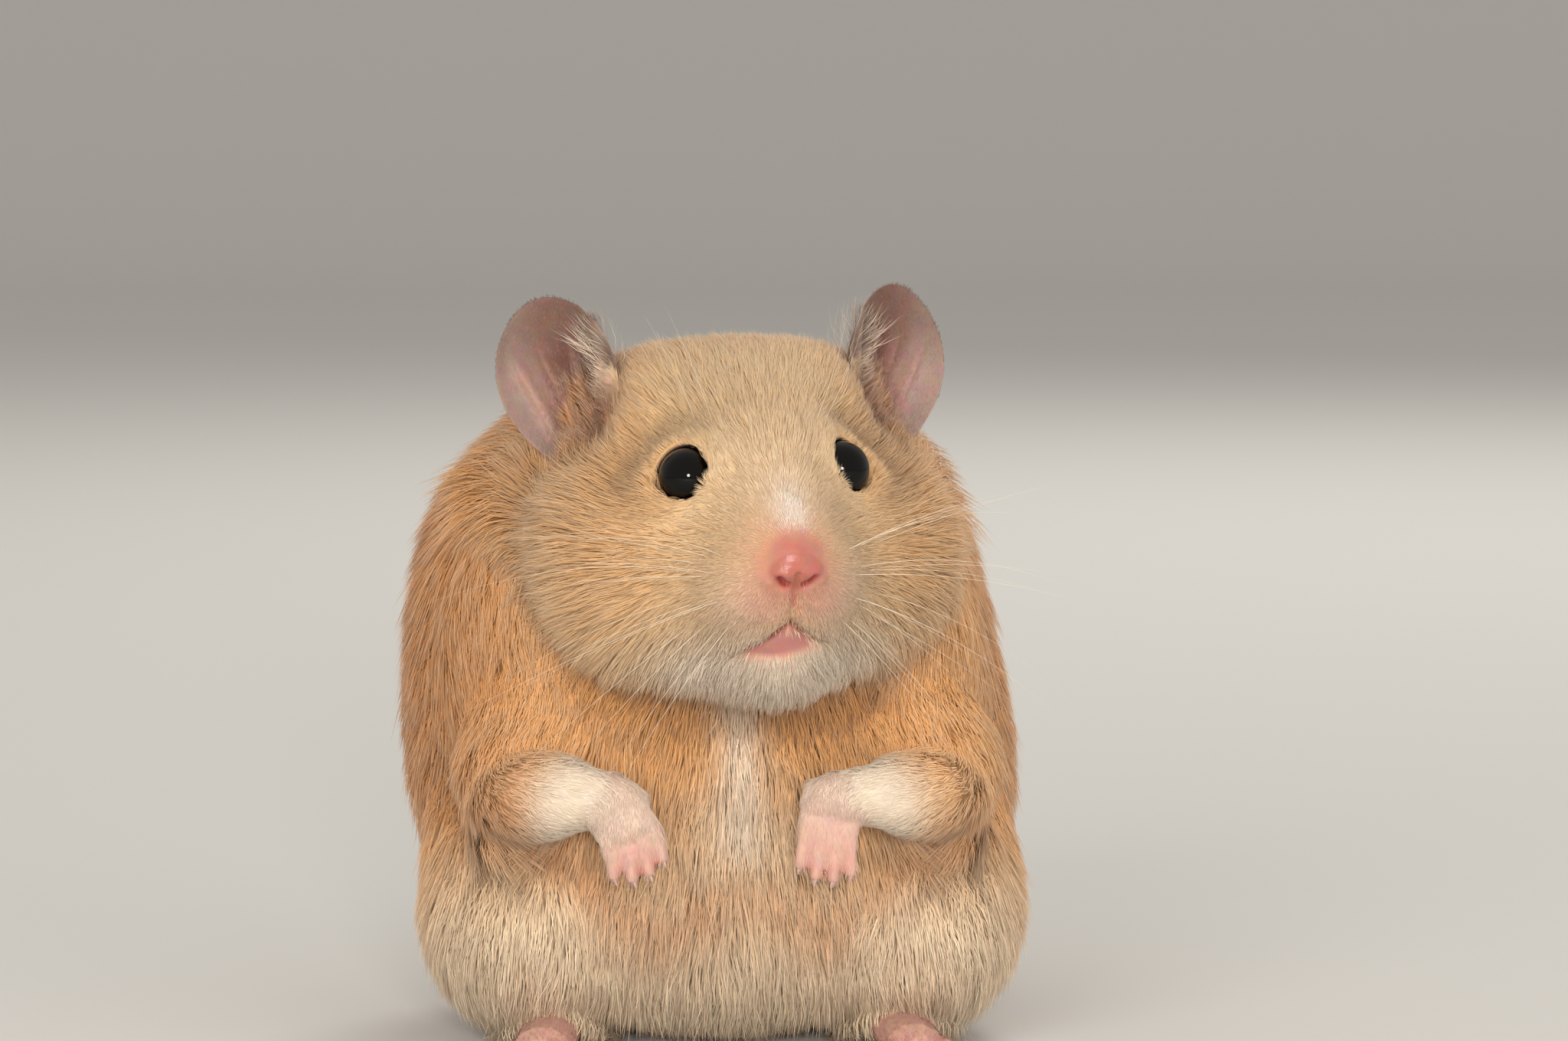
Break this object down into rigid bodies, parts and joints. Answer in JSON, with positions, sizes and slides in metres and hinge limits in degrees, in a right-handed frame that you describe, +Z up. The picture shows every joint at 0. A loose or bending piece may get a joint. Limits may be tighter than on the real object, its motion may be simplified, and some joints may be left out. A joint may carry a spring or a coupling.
{
  "type": "syrian hamster",
  "caption": "Cream and apricot Syrian hamster sitting up on its haunches with its forepaws held before its chest, a still life-size model.",
  "frame": {"origin": "middle of the footprint's bounding box, on the floor", "axes": "+Z up, -Y the way the animal's body faces, +X the animal's left"},
  "size_m": [0.0734, 0.092, 0.089],
  "materials": {
    "coat": "soft apricot fur",
    "white_coat": "soft white fur",
    "bare_skin": "soft pink skin",
    "ear_skin": "thin grey-pink skin",
    "tail_skin": "soft pale skin",
    "nose_skin": "moist pink skin",
    "eye": "wet gloss",
    "claw": "translucent horn"
  },
  "bodies": {
    "root": {"ear_left": "ear_skin", "ear_right": "ear_skin", "eye_left": "eye", "eye_right": "eye", "forearm_left": "coat", "forearm_right": "coat", "foreclaw_left_1": "claw", "foreclaw_left_2": "claw", "foreclaw_left_3": "claw", "foreclaw_left_4": "claw", "foreclaw_right_1": "claw", "foreclaw_right_2": "claw", "foreclaw_right_3": "claw", "foreclaw_right_4": "claw", "forepaw_left": "bare_skin", "forepaw_right": "bare_skin", "head": "coat", "hind_foot_left": "bare_skin", "hind_foot_right": "bare_skin", "hindclaw_left_1": "claw", "hindclaw_left_2": "claw", "hindclaw_left_3": "claw", "hindclaw_left_4": "claw", "hindclaw_left_5": "claw", "hindclaw_right_1": "claw", "hindclaw_right_2": "claw", "hindclaw_right_3": "claw", "hindclaw_right_4": "claw", "hindclaw_right_5": "claw", "lower_jaw": "white_coat", "neck": "coat", "nose": "nose_skin", "tail": "tail_skin", "thigh_left": "coat", "thigh_right": "coat", "trunk": "coat", "upper_arm_left": "coat", "upper_arm_right": "coat"}
  },
  "joints": []
}
